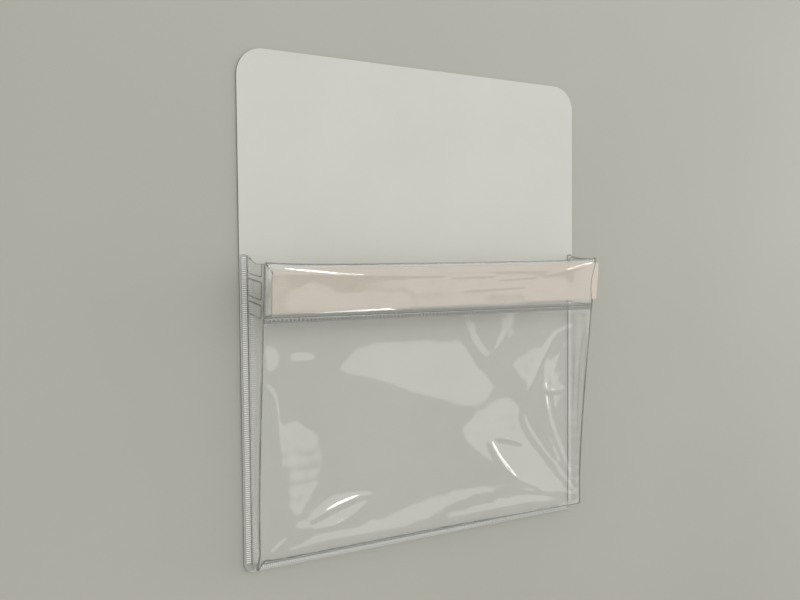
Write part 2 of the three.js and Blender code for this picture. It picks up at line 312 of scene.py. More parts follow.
def film_object(name, middle, thickness, shade_lines):
    """A closed film from its middle surface, given as rows x columns x 3. Columns x rows points out.

    The line mask is 1 where the film is folded, pressed or cut, and 0 elsewhere; there a darker line is
    painted as shade.
    """
    rows, columns = middle.shape[:2]
    along = np.gradient(middle, axis=1)
    across = np.gradient(middle, axis=0)
    normal = np.cross(along, across)
    normal /= np.linalg.norm(normal, axis=2, keepdims=True)
    outer = (middle + normal * thickness / 2).reshape(-1, 3)
    inner = (middle - normal * thickness / 2).reshape(-1, 3)
    index = np.arange(rows * columns).reshape(rows, columns)
    a, b, c, d = index[:-1, :-1], index[:-1, 1:], index[1:, 1:], index[1:, :-1]
    quads = np.stack([a, b, c, d], axis=-1).reshape(-1, 4)
    back = quads[:, ::-1] + rows * columns
    loop = np.concatenate([index[0], index[1:, -1], index[-1, -2::-1], index[-2:0:-1, 0]])
    after = np.roll(loop, -1)
    rim = np.stack([loop, loop + rows * columns, after + rows * columns, after], axis=-1)
    obj = mesh_object(name, np.concatenate([outer, inner]), np.concatenate([quads, back, rim]))
    # The line mask is kept on the mesh, and the film material paints it as dark shade
    both = np.concatenate([shade_lines.ravel(), shade_lines.ravel()]).astype(np.float32)
    obj.data.attributes.new("film_line_shade", "FLOAT", "POINT").data.foreach_set("value", both)
    return obj


def eased(low, high, step, fine):
    """Places from low to high about a step apart, with closer ones at both ends."""
    near = fine * np.arange(4)
    count = max(2, int(round((high - low - 8 * fine) / step)))
    middle = np.linspace(low + 4 * fine, high - 4 * fine, count)
    return np.concatenate([low + near, middle, high - near[::-1]])


def line_at(distance, width):
    return np.exp(-(distance / width) ** 2)


def along_path(points):
    """A smooth curve through points, as many places, each with its share of the way."""
    p = np.array(points, float)
    t = np.linspace(0, 1, PATH_STEPS)
    ends = np.vstack([2 * p[0] - p[1], p, 2 * p[-1] - p[-2]])
    seg = np.clip((t * (len(p) - 1)).astype(int), 0, len(p) - 2)
    f = (t * (len(p) - 1) - seg)[:, None]
    p0, p1, p2, p3 = ends[seg], ends[seg + 1], ends[seg + 2], ends[seg + 3]
    curve = 0.5 * (2 * p1 + (p2 - p0) * f + (2 * p0 - 5 * p1 + 4 * p2 - p3) * f ** 2
                   + (3 * p1 - p0 - 3 * p2 + p3) * f ** 3)
    return curve, t


def ridge(x, z, points, height, width):
    """A fold line: a rounded ridge along a curve that fades out at both ends."""
    curve, t = along_path(points)
    best = np.full(x.shape, np.inf)
    share = np.zeros(x.shape)
    for (px, pz), at in zip(curve * MM, t):
        d = (x - px) ** 2 + (z - pz) ** 2
        near = d < best
        best = np.where(near, d, best)
        share = np.where(near, at, share)
    fade = np.sin(np.pi * np.clip(share, RIDGE_END, 1 - RIDGE_END)) ** RIDGE_FADE
    return height * fade * np.exp(-best / width ** 2)


# Where the front film faces up enough to mirror the room's pale walls: outlines in millimetres
FRONT_PATCHES = (
    ((-70, -33), (-64, -26), (-60, -21), (-40, -20), (-20, -20), (0, -21), (12, -22), (19, -27),
     (24, -38), (40, -50), (39, -58), (28, -65), (18, -64), (4, -59), (-8, -55), (-24, -50), (-40, -43),
     (-54, -39), (-66, -36)),
    ((16, -78), (24, -70), (40, -63), (54, -61), (62, -66), (64, -74), (67, -82), (76, -94), (88, -108),
     (100, -122), (110, -130), (96, -130), (76, -124), (62, -118), (50, -110), (40, -103), (28, -94),
     (19, -86)),
    ((55, -40), (61, -34), (70, -30), (81, -30), (79, -39), (72, -52), (66, -52), (60, -47)),
    ((-118, -18), (-111, -17), (-107, -24), (-108, -30), (-118, -33)),
    ((-101, -21), (-90, -21), (-86, -25), (-88, -28), (-101, -27)),
    ((-105, -65), (-100, -62), (-94, -61), (-87, -67), (-81, -72), (-78, -86), (-80, -98), (-84, -108),
     (-92, -117), (-98, -119), (-100, -110), (-101, -90)),
    ((-98, -123), (-90, -117), (-78, -110), (-68, -107), (-60, -108), (-50, -113), (-50, -117),
     (-60, -122), (-70, -127), (-84, -129), (-94, -126)),
    ((-104, -136), (-84, -130), (-60, -129), (-40, -128), (-20, -123), (0, -119), (20, -118),
     (50, -119), (60, -121), (40, -123), (20, -125), (0, -130), (-10, -134), (-24, -135), (-60, -135),
     (-100, -138)),
    ((0, -134), (20, -131), (50, -128), (80, -128), (104, -134), (104, -138), (60, -135), (20, -136)),
    ((19, -8), (23, -18), (29, -25), (36, -31), (31, -31), (24, -26), (19, -19), (15, -8)),
    ((44, -8), (51, -7), (49.5, -16), (46, -23), (41, -31), (38, -29), (42.5, -19)),
    ((84, -40), (92, -36), (96, -50), (97, -62), (92, -72), (95, -90), (104, -110), (98, -112),
     (88, -92), (84, -74), (82, -58)),
)

# The same for the label sleeve's window
SLEEVE_PATCHES = (
    ((-105, 2), (-104, 10), (-100, 15), (-90, 16.5), (-78, 15), (-76, 12), (-50, 12), (-30, 10),
     (-28, 2)),
    ((-60, 13.5), (-40, 17), (40, 17.5), (90, 16), (99, 12), (99, 3), (60, 3), (57, 11), (0, 13),
     (-30, 12.5)),
)

# Fold lines of the front film: points, height and width, in millimetres
FRONT_RIDGES = (
    (((38, -87), (41, -93), (46, -101), (54, -110), (60, -116)), 1.5, 1.6),
    (((46, -101), (54, -110), (62, -117), (74, -123), (88, -129)), 0.9, 1.5),
    (((44, -87), (50, -88.5), (56, -90), (64, -93)), 0.9, 1.3),
    (((-85, -121.5), (-78, -118.5), (-70, -115.5), (-56, -112), (-46, -112)), 0.9, 1.3),
    (((-83, -127), (-70, -126), (-60, -122), (-53, -117)), 0.7, 1.2),
    (((82, -57), (87, -60), (92, -60), (98, -59.5)), 0.9, 1.4),
    (((88, -44), (89, -56), (91, -66), (92, -80)), 0.6, 1.8),
    (((100, -17), (88, -22), (80, -34), (72, -50), (67, -64), (67, -78), (78, -94), (92, -110),
      (107, -127)), 0.7, 1.8),
    (((86, -24), (82, -38), (82, -52), (84, -66), (90, -84), (100, -104), (109, -124)), 0.5, 1.6),
    (((98, -28), (92, -40), (88, -52)), 0.4, 1.5),
    (((-117, -38), (-111, -46), (-108, -60), (-106, -80), (-105, -110), (-105, -139)), 0.8, 1.8),
    (((48.5, -7), (46.5, -16), (43.5, -23), (39.5, -30)), 0.35, 1.4),
    (((110, -137), (88, -130), (64, -125)), 0.4, 1.2),
    (((113, -136), (100, -131), (86, -129)), 0.5, 1.1),
    (((112, -134), (104, -124), (96, -116)), 0.5, 1.1),
    (((-114, -142), (-106, -133), (-96, -127)), 0.5, 1.2),
    (((-14, -78), (0, -92), (18, -110)), 0.12, 0.8),
)


def inside(x, z, outline_points):
    """Whether places lie inside a closed outline: a line to the right crosses it an odd number of times."""
    odd = np.zeros(x.shape, bool)
    corners = np.array(outline_points) * MM
    for (ax, az), (bx, bz) in zip(corners, np.roll(corners, -1, axis=0)):
        if az != bz:
            spans = (az > z) != (bz > z)
            odd ^= spans & (x < ax + (z - az) * (bx - ax) / (bz - az))
    return odd


def conjugate_gradients(product, wanted, scale, start, rounds):
    """Solves product(v) = wanted for a symmetric product whose diagonal is about the scale."""
    found = start.copy()
    left = wanted - product(found)
    step = left / scale
    size = np.sum(left * step)
    small = FIT_SOLVED * size
    for _ in range(rounds):
        if size <= small:
            break
        turned = product(step)
        way = size / np.sum(step * turned)
        found = found + way * step
        left = left - way * turned
        guided = left / scale
        fresh = np.sum(left * guided)
        step = guided + fresh / size * step
        size = fresh
    return found


def mirror_form(patches, x_span, z_span, depth_at, bulge):
    """A film's relief, as a function of x and z, that mirrors the pale walls only inside the patches.

    The relief is a sum of sine waves that are nothing at the spans' borders. It is fitted by least squares:
    inside the patches the film has to face up by a margin more than the room's step asks for, and elsewhere
    by a margin less. Places that already do count little in the next round. A small height and gentle waves
    are preferred.
    """
    wide, high = x_span[1] - x_span[0], z_span[1] - z_span[0]
    x, z = np.meshgrid(np.arange(*x_span, FIT_STEP), np.arange(*z_span, FIT_STEP), indexing="ij")
    view = np.stack([x, FACE_Y - depth_at(z), z], axis=-1) - np.array(CAMERA_PLACE)
    view /= np.linalg.norm(view, axis=-1, keepdims=True)
    asked = (ROOM_STEP - view[..., 2]) / (2 * view[..., 1])
    lean = (depth_at(z + 0.5 * MM) - depth_at(z - 0.5 * MM)) / MM
    light = np.any([inside(x, z, patch) for patch in patches], axis=0)
    i = np.pi * np.arange(1, int(wide / HALF_WAVE_ACROSS) + 1) / wide
    j = np.pi * np.arange(1, int(high / HALF_WAVE_UP) + 1) / high
    across = np.sin((x[:, 0] - x_span[0])[:, None] * i)
    turns = (z[0] - z_span[0])[:, None] * j
    sloping = np.cos(turns) * j
    even = x.size / 4
    swell = bulge * (1 - (2 * (x - x_span[0]) / wide - 1) ** 2) * np.sin(np.pi * (z - z_span[0]) / high)
    swell_pull = HEIGHT_WEIGHT * (across.T @ swell @ np.sin(turns))
    calm = even * (STIFFNESS * (i[:, None] ** 2 + j ** 2) ** 2 + HEIGHT_WEIGHT)
    sign = np.where(light, 1.0, -1.0)
    target = asked + lean
    weight = np.ones(x.shape)
    waves = np.zeros(calm.shape)
    for _ in range(FIT_ROUNDS):
        pull = swell_pull - across.T @ (weight * (target + TILT_MARGIN * sign)) @ sloping
        waves = conjugate_gradients(
            lambda v: across.T @ (weight * (across @ v @ sloping.T)) @ sloping + calm * v,
            pull, even * j ** 2 * weight.mean() + calm, waves, FIT_STEPS)
        weight = np.where((-across @ waves @ sloping.T - target) * sign > TILT_MARGIN, MET_WEIGHT, 1.0)

    def relief(at_x, at_z):
        low_x = np.clip(at_x, *x_span) - x_span[0]
        low_z = np.clip(at_z, *z_span) - z_span[0]
        columns = np.sin(low_x[:, None] * i) @ waves
        return np.einsum("cj,rcj->rc", columns, np.sin(low_z[..., None] * j))

    return relief


def foot_height(x):
    """Height of the front's foot: arched, pinched down at the left corner and lower towards the right."""
    arch = FLOOR_Z + (arch_z - FLOOR_Z) * smooth_step((np.asarray(x) + FRONT_HALF) / LEFT_PINCH)
    return arch - RIGHT_DROP * smooth_step(np.asarray(x) / FRONT_HALF)


def corner_pull(x, z):
    """How far the front is drawn in at the left corner of its foot."""
    low = smooth_step(1 - (z - FLOOR_Z) / CORNER_RISE)
    return CORNER_PULL * low * smooth_step(1 - (x + FRONT_HALF) / CORNER_RUN)


def floor_rise(share):
    """How far up the floor has come from the weld to the front's foot."""
    return smooth_step(share) ** FLOOR_EASE


def front_relief(x, z):
    """How far the film's soft form stands out from the plane between its creases."""
    x_span, z_span = (-FRONT_HALF, FRONT_HALF), (HINGE[2], BAND_FOOT)
    relief = mirror_form(FRONT_PATCHES, x_span, z_span, crease_depth, FRONT_BULGE)(x[0], z)
    for points, height, width in FRONT_RIDGES:
        relief = relief + ridge(x, z, points, height * MM, width * MM)
    for length, height in WAVES:
        places = zip(x.ravel() / length, z.ravel() / length)
        waves = [noise.noise(Vector((a, b, length / MM))) for a, b in places]
        relief = relief + height * np.array(waves).reshape(x.shape)
    gap = np.minimum(np.minimum(FRONT_HALF - np.abs(x), z - foot_height(x)), BAND_FOOT + STRIP_HEIGHT - z)
    return relief * smooth_step(gap / FRONT_FADE)


def mouth_lift(x):
    """How much higher the mouth's front edge stands than in the plain pocket: nothing in the middle."""
    t = np.asarray(x) / FRONT_HALF
    return t * (MOUTH_LIFT_RIGHT - MOUTH_LIFT_LEFT) / 2 + t * t * (MOUTH_LIFT_RIGHT + MOUTH_LIFT_LEFT) / 2


def mouth_height(x):
    return np.interp(x, mouth_x, mouth_z) + mouth_lift(x)


def front_film():
    x = eased(-FRONT_HALF, FRONT_HALF, FRONT_STEP, FRONT_FINE)
    low = foot_height(x)
    height = MOUTH_Z - FLOOR_Z
    rows = eased(0, height, FRONT_STEP, FRONT_FINE)[:, None] / height
    z = low + rows * (mouth_height(x) - low)
    xx = np.broadcast_to(x, z.shape)
    y = FACE_Y - crease_depth(z) + corner_pull(xx, z) - front_relief(xx, z)
    # Painted shade along the side creases and along the foot
    shade_lines = np.maximum(line_at(FRONT_HALF - np.abs(xx), LINE_WIDTH), line_at(z - low, LINE_WIDTH))
    return film_object("pocket_front_film", np.stack([xx, y, z], axis=-1), FILM, shade_lines)


def left_gusset_top(share):
    """Height of the left gusset's top edge over its depth: high at the weld, then a lazy S to the crease."""
    front = MOUTH_Z + MOUTH_LIFT_LEFT - LEFT_TOP_DROP
    return GUSSET_TOP + (front - GUSSET_TOP) * smooth_step(share / LEFT_TOP_RUN) ** LEFT_TOP_EASE


def right_gusset_top(share):
    """Height of the right gusset's top edge, which runs nearly straight, with a slight sag."""
    front = MOUTH_Z + MOUTH_LIFT_RIGHT
    return GUSSET_TOP + (front - GUSSET_TOP) * share - RIGHT_TOP_SAG * np.sin(np.pi * share)


def pane_form(depth, z):
    """The three raised panes of the gusset's band: their relief, and painted shade round their rounded
    outlines.
    """
    front = crease_depth(z)
    height = MOUTH_Z - BAND_FOOT
    fall = z + BAR_LEAN * depth
    bars = [BAND_FOOT + share * height for share in BAR_SHARES]
    tops = [GUSSET_TOP - PANE_TOP_GAP] + [bar - BAR_WIDTH / 2 for bar in bars]
    feet = [bar + BAR_WIDTH / 2 for bar in bars] + [BAND_FOOT + PANE_FOOT_GAP]
    relief = np.zeros(depth.shape)
    shade_lines = np.zeros(depth.shape)
    for top, foot in zip(tops, feet):
        half_depth, half_height = front / 2 - PANE_INSET, (top - foot) / 2
        qx = np.abs(depth - front / 2) - half_depth + PANE_RADIUS
        qz = np.abs(fall - (top + foot) / 2) - half_height + PANE_RADIUS
        beyond = np.hypot(np.maximum(qx, 0), np.maximum(qz, 0)) + np.minimum(np.maximum(qx, qz), 0)
        inset = PANE_RADIUS - beyond
        relief = np.maximum(relief, PANE_RISE * smooth_step(inset / PANE_EDGE))
        # Painted shade round each pane's rounded outline
        shade_lines = np.maximum(shade_lines, line_at(inset - PANE_EDGE / 2, BROAD_LINE))
    return relief, shade_lines


# Curved folds of the right gusset: points as depth and height, the fold's height and width, in millimetres,
# and how dark the shade painted along them is
RIGHT_GUSSET_FOLDS = (
    (((23, -17), (20, -28), (17.5, -50), (15.5, -80), (13, -118)), 0.55, 0.9),
    (((19, -14), (15, -30), (12, -58), (11, -92), (11.5, -126)), 0.45, 1.0),
    (((24, -8), (17, -9.5), (9, -8), (3, -9)), 0.5, 1.0),
    (((8, -20), (7, -52), (6, -90)), 0.3, 1.2),
)
GUSSET_FOLD_SHADE = 0.55


def gusset_film(side):
    """One side's film, from the weld to the front crease, where it turns onto the front film's edge."""
    reach = crease_depth(MOUTH_Z)
    share = eased(0, reach, GUSSET_STEP, GUSSET_FINE) / reach
    top = left_gusset_top(share) if side < 0 else right_gusset_top(share)
    lower = np.linspace(0, 1, int((BAND_FOOT - FLOOR_Z) / GUSSET_LOWER_STEP))[:-1, None]
    band = eased(0, GUSSET_TOP - BAND_FOOT, GUSSET_STEP, GUSSET_FINE)[:, None] / (GUSSET_TOP - BAND_FOOT)
    low = FLOOR_Z + floor_rise(share) * (foot_height(side * FRONT_HALF) - FLOOR_Z)
    z = np.vstack([low + lower * (BAND_FOOT - low), BAND_FOOT + band * (top - BAND_FOOT)])
    front = crease_depth(z) - corner_pull(side * FRONT_HALF, z)
    depth = SEAT + share * (front - SEAT)
    relief, shade_lines = pane_form(depth, z)
    slack = GUSSET_SLACK * np.sin(np.pi * share) * np.sin((z - FLOOR_Z) / SLACK_RUN + side)
    out = GUSSET_X + relief + slack - GUSSET_FOLD * smooth_step((share - FOLD_START) / (1 - FOLD_START))
    if side > 0:
        for points, height, width in RIGHT_GUSSET_FOLDS:
            fold = ridge(depth, z, points, 1, width * MM)
            out = out + height * MM * fold
            # Painted shade along the curved folds
            shade_lines = np.maximum(shade_lines, GUSSET_FOLD_SHADE * fold ** 2)
    # Painted shade along the weld, the crease and the top edge
    for edge in (depth - SEAT, front - depth, top - z):
        shade_lines = np.maximum(shade_lines, line_at(edge, LINE_WIDTH))
    weights = np.clip(depth / front, 0, 1)
    middle = np.stack([side * out, FACE_Y - depth, z], axis=-1)
    if side < 0:
        middle, shade_lines, weights = middle[:, ::-1], shade_lines[:, ::-1], weights[:, ::-1]
    name = "left_gusset_film" if side < 0 else "right_gusset_film"
    return film_object(name, middle, FILM, shade_lines), weights


def floor_film():
    x = np.linspace(-FRONT_HALF, FRONT_HALF, FLOOR_COLUMNS)
    low = foot_height(x)
    front = crease_depth(HINGE[2]) - corner_pull(x, low) - FILM
    share = np.linspace(0, 1, FLOOR_ROWS)[:, None]
    depth = SEAT + share * (front - SEAT)
    z = FLOOR_Z + FILM / 2 + floor_rise(share) * (low - FLOOR_Z)
    middle = np.stack([x + 0 * z, FACE_Y - depth + 0 * x, z], axis=-1)
    # Painted shade along the weld's fold
    return film_object("pocket_floor_film", middle, FILM, line_at(share, FLOOR_LINE) + 0 * x)


def tube_object(name, path, radius, sides=8):
    """A closed round tube along a path of points, for a rolled fold or a bead of film."""
    path = np.array(path)
    along = np.gradient(path, axis=0)
    along /= np.linalg.norm(along, axis=1, keepdims=True)
    # Any direction does that no path runs in
    side = np.cross(along, (0.31, 0.52, 0.79))
    side /= np.linalg.norm(side, axis=1, keepdims=True)
    other = np.cross(along, side)
    angles = 2 * np.pi * np.arange(sides) / sides
    ring = side[:, None] * np.cos(angles)[None, :, None] + other[:, None] * np.sin(angles)[None, :, None]
    points = (path[:, None] + radius * ring).reshape(-1, 3)
    faces = []
    for i in range(len(path) - 1):
        for k in range(sides):
            a, b = i * sides + k, i * sides + (k + 1) % sides
            faces.append((a, b, b + sides, a + sides))
    last = (len(path) - 1) * sides
    faces.append(tuple(range(sides - 1, -1, -1)))
    faces.append(tuple(range(last, last + sides)))
    return mesh_object(name, points, faces)


def side_crease(side):
    """The rolled fold where a gusset turns onto the front film."""
    edge = side * FRONT_HALF
    z = np.linspace(foot_height(edge) + FILM, mouth_height(edge) - FILM, CREASE_STEPS)
    x = side * (GUSSET_X - FILM / 2) + 0 * z
    name = "left_crease_fold" if side < 0 else "right_crease_fold"
    y = FACE_Y - crease_depth(z) + corner_pull(edge, z)
    return tube_object(name, np.stack([x, y, z], axis=-1), CREASE_RADIUS)


def foot_crease():
    """The rolled fold where the floor turns up onto the front film."""
    x = np.linspace(-FRONT_HALF, FRONT_HALF, FOOT_CREASE_STEPS)
    z = foot_height(x)
    y = FACE_Y - crease_depth(z) + corner_pull(x, z)
    return tube_object("foot_crease_fold", np.stack([x, y, z], axis=-1), CREASE_RADIUS * FOOT_CREASE_SHARE)


SLEEVE_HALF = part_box("sleeve_window")[1].x
SLEEVE_TILT = math.atan(SLEEVE_LEAN)
SLEEVE_PLACE = Matrix.Translation((0, FACE_Y - crease_depth(BAND_FOOT) - FILM / 2, BAND_FOOT))
SLEEVE_FRAME = SLEEVE_PLACE @ Matrix.Rotation(SLEEVE_TILT, 4, "X")


def sleeve_points(x, h, s):
    local = np.stack([x, -h, s], axis=-1)
    turn = np.array(SLEEVE_FRAME.to_3x3())
    return local @ turn.T + np.array(SLEEVE_FRAME.translation)


def sleeve_depth(z):
    """How far out the sleeve's window stands: it leans out a little more than the front film behind it."""
    return crease_depth(z) + SLEEVE_BELLY * (z - BAND_FOOT) / (MOUTH_Z - BAND_FOOT)


def sleeve_film():
    """The label sleeve: weld strip, pillowed window, hem over the mouth's edge, open right end."""
    x = eased(-SLEEVE_HALF, SLEEVE_HALF, SLEEVE_STEP, SLEEVE_FINE)
    u = x + SLEEVE_HALF
    top = (mouth_height(x) - BAND_FOOT) / math.cos(SLEEVE_TILT)
    # Each stretch of rows starts a little beyond the end of the one before
    foot_rows = np.concatenate([eased(0, STRIP_HEIGHT, STRIP_STEP, STRIP_FINE),
                                STRIP_HEIGHT + PILLOW_FOOT_RUN * np.linspace(0.08, 1, PILLOW_FOOT_ROWS)])
    window_rows = np.linspace(0.015, 1, WINDOW_ROWS)[:, None]
    window = foot_rows[-1] + window_rows * (top - PILLOW_TOP_RUN - foot_rows[-1])
    shoulder = top - PILLOW_TOP_RUN * np.linspace(0.95, 0, PILLOW_TOP_ROWS)[:, None]
    s = np.vstack([foot_rows[:, None] + 0 * x, window, shoulder])
    foot_rise = np.clip((s - STRIP_HEIGHT) / PILLOW_FOOT_RUN, 0, 1)
    end_rise = np.clip(u / PILLOW_END_RUN, 0, 1) + 0 * s
    top_rise = HEM_RISE_SHARE + (1 - HEM_RISE_SHARE) * smooth_step((top - s) / PILLOW_TOP_RUN)
    rise = np.minimum(np.minimum(foot_rise, end_rise), top_rise)
    x_span, z_span = (-SLEEVE_HALF, SLEEVE_HALF), (BAND_FOOT + FORM_FOOT_GAP, MOUTH_Z - FORM_TOP_GAP)
    form = mirror_form(SLEEVE_PATCHES, x_span, z_span, sleeve_depth, 0)
    slack = form(x, BAND_FOOT + s * math.cos(SLEEVE_TILT))
    for start, end, below_start, below_end, height in SLEEVE_FOLDS:
        along = np.clip((u / MM - start) / (end - start), 0, 1)
        below = (below_start + (below_end - below_start) * along) * MM
        fold = line_at(top - s - below, SLEEVE_FOLD_WIDTH)
        slack = slack + height * MM * np.sin(np.pi * along) ** SLEEVE_FOLD_FADE * fold
    lip = np.interp(u, LIP_PLACES, LIP_RUNS)
    slack = slack + LIP_SLOPE * np.clip(foot_rows[-1] + lip - s, 0, lip)
    belly = SLEEVE_BELLY * (s / top - 0.5)
    h = SLEEVE_SEAT + SLEEVE_FILM / 2 + PILLOW_RISE * rise + (slack + belly) * np.clip(rise * 2 - 1, 0, 1)
    strip_top = STRIP_HEIGHT - RUNG_EDGE
    strip = smooth_step((s - RUNG_MARGIN) / RUNG_EDGE) * smooth_step((strip_top - s) / RUNG_EDGE)
    rungs = 0.5 * (1 + np.cos(2 * np.pi * u / RUNG_PITCH))
    h = h + RUNG_RISE * strip * rungs
    # Painted shade along the mitre folds of the closed end
    mitre_shade = line_at(foot_rise - end_rise, MITRE_LINE) * (foot_rise < 1) * (foot_rise > 0)
    corner = (top - s < PILLOW_TOP_RUN) * (end_rise < 1)
    top_mitre_shade = line_at(1 - (top - s) / PILLOW_TOP_RUN - (1 - end_rise), TOP_MITRE_LINE) * corner
    # Painted shade and dark reflection on the strip, darker still on its weld's rungs
    shade_lines = np.maximum(np.maximum(mitre_shade, top_mitre_shade), strip * (STRIP_SHADE_AND_RUNGS[0] + STRIP_SHADE_AND_RUNGS[1] * rungs))
    # Painted dark reflection on the closed end's slope, and painted shade on the foot
    shade_lines = np.maximum(shade_lines, END_SHADE * (end_rise < 1) + FOOT_SHADE * (foot_rise < FOOT_SHADE_RISE))
    # Painted shade along the foot, the strip's top, the left end and the top edge
    for edge in (s, s - STRIP_HEIGHT, u, top - s):
        shade_lines = np.maximum(shade_lines, EDGE_SHADE * line_at(edge, LINE_WIDTH))
    reach = h[-1].mean()
    turns = np.linspace(0.2, 1, HEM_ROWS) * math.pi / 2
    hem = [(reach * math.cos(turn), HEM_LID * math.sin(turn)) for turn in turns]
    hem.append((-FILM, HEM_LID))
    s = np.vstack([s] + [top + lid for _, lid in hem])
    h = np.vstack([h] + [np.full(x.shape, out) for out, _ in hem])
    # Painted shade along the hem's fold, dotted at the rung pitch towards the left
    hem_shade_dots = HEM_SHADE_AND_DOTS[0] + HEM_SHADE_AND_DOTS[1] * rungs * smooth_step(HEM_DOTS_REACH - u / HEM_DOTS)
    shade_lines = np.vstack([shade_lines] + [hem_shade_dots for _ in hem])
    cut_share = np.clip((s - STRIP_HEIGHT) / (top - STRIP_HEIGHT), 0, 1)
    near_end = np.clip((x - SLEEVE_HALF + THUMB_CUT_RUN) / THUMB_CUT_RUN, 0, 1) ** 2
    xx = x - THUMB_CUT * np.sin(np.pi * cut_share) * near_end
    # Painted shade along the open right end
    shade_lines = np.maximum(shade_lines, line_at(SLEEVE_HALF - x + 0 * s, BROAD_LINE))
    return film_object("label_sleeve_film", sleeve_points(xx, h, s), SLEEVE_FILM, shade_lines)


def card_object():
    """The label card: a thin sheet with eased corners, lying slightly askew in the sleeve."""
    low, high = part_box("label_card")
    length = high.x - low.x
    centre_x = (low.x + high.x) / 2
    centre_s = STRIP_HEIGHT + CARD_FOOT_GAP + CARD_HEIGHT / 2
    corners = []
    for sx, sz, start in ((1, -1, -90), (1, 1, 0), (-1, 1, 90), (-1, -1, 180)):
        for step in range(CARD_CORNER_STEPS + 1):
            a = math.radians(start + step * 90 / CARD_CORNER_STEPS)
            corners.append((sx * (length / 2 - CARD_CORNER) + CARD_CORNER * math.cos(a),
                            sz * (CARD_HEIGHT / 2 - CARD_CORNER) + CARD_CORNER * math.sin(a)))
    c, s = math.cos(CARD_TILT), math.sin(CARD_TILT)
    turned = np.array(corners) @ np.array([[c, s], [-s, c]])
    x = centre_x + turned[:, 0]
    up = centre_s + turned[:, 1]
    count = len(x)
    near = sleeve_points(x, np.full(count, CARD_LIFT + CARD_THICKNESS), up)
    far = sleeve_points(x, np.full(count, CARD_LIFT), up)
    rim = [(i, i + count, (i + 1) % count + count, (i + 1) % count) for i in range(count)]
    faces = [tuple(range(count)), tuple(range(2 * count - 1, count - 1, -1))] + rim
    return mesh_object("label_card_strip", np.vstack([near, far]), faces)


# Materials

def new_material(name):
    material = bpy.data.materials.new(name)
    material.use_nodes = True
    nodes = material.node_tree.nodes
    shader = nodes["Principled BSDF"]
    return material, nodes, material.node_tree.links, shader


def colour_ramp(nodes, links, source, low, high, start=0.35, end=0.65):
    ramp = nodes.new("ShaderNodeValToRGB")
    ramp.color_ramp.elements[0].position = start
    ramp.color_ramp.elements[0].color = (*low, 1)
    ramp.color_ramp.elements[1].position = end
    ramp.color_ramp.elements[1].color = (*high, 1)
    links.new(source, ramp.inputs["Fac"])
    return ramp.outputs["Color"]


def grain(nodes, links, scale, detail=3, stretch=(1, 1, 1)):
    place = nodes.new("ShaderNodeTexCoord")
    mapping = nodes.new("ShaderNodeMapping")
    mapping.inputs["Scale"].default_value = stretch
    links.new(place.outputs["Object"], mapping.inputs["Vector"])
    texture = nodes.new("ShaderNodeTexNoise")
    texture.inputs["Scale"].default_value = scale
    texture.inputs["Detail"].default_value = detail
    links.new(mapping.outputs["Vector"], texture.inputs["Vector"])
    return texture.outputs["Fac"]


def add_bump(nodes, links, shader, height, strength, distance):
    bump = nodes.new("ShaderNodeBump")
    bump.inputs["Strength"].default_value = strength
    bump.inputs["Distance"].default_value = distance
    links.new(height, bump.inputs["Height"])
    links.new(bump.outputs["Normal"], shader.inputs["Normal"])


def map_range(nodes, links, source, low, high, start=0.0, end=1.0):
    spread = nodes.new("ShaderNodeMapRange")
    spread.inputs["From Min"].default_value = start
    spread.inputs["From Max"].default_value = end
    spread.inputs["To Min"].default_value = low
    spread.inputs["To Max"].default_value = high
    links.new(source, spread.inputs["Value"])
    return spread.outputs["Result"]


def math_node(nodes, links, operation, first, second):
    node = nodes.new("ShaderNodeMath")
    node.operation = operation
    for socket, value in zip(node.inputs, (first, second)):
        if isinstance(value, float):
            socket.default_value = value
        else:
            links.new(value, socket)
    return node.outputs["Value"]


def face_material():
    material, nodes, links, shader = new_material("white laminate")
    cloud = grain(nodes, links, 14, 4)
    links.new(colour_ramp(nodes, links, cloud, (0.555, 0.557, 0.515), (0.58, 0.58, 0.54)),
              shader.inputs["Base Color"])
    shader.inputs["Roughness"].default_value = 0.42
    shader.inputs["Specular IOR Level"].default_value = 0.3
    add_bump(nodes, links, shader, grain(nodes, links, 900, 2), 0.12, 0.00004)
    return material


def magnet_material():
    material, nodes, links, shader = new_material("flexible magnet")
    specks = grain(nodes, links, 600, 5)
    links.new(colour_ramp(nodes, links, specks, (0.05, 0.05, 0.045), (0.085, 0.083, 0.075)),
              shader.inputs["Base Color"])
    shader.inputs["Roughness"].default_value = 0.75
    add_bump(nodes, links, shader, specks, 0.3, 0.0001)
    return material


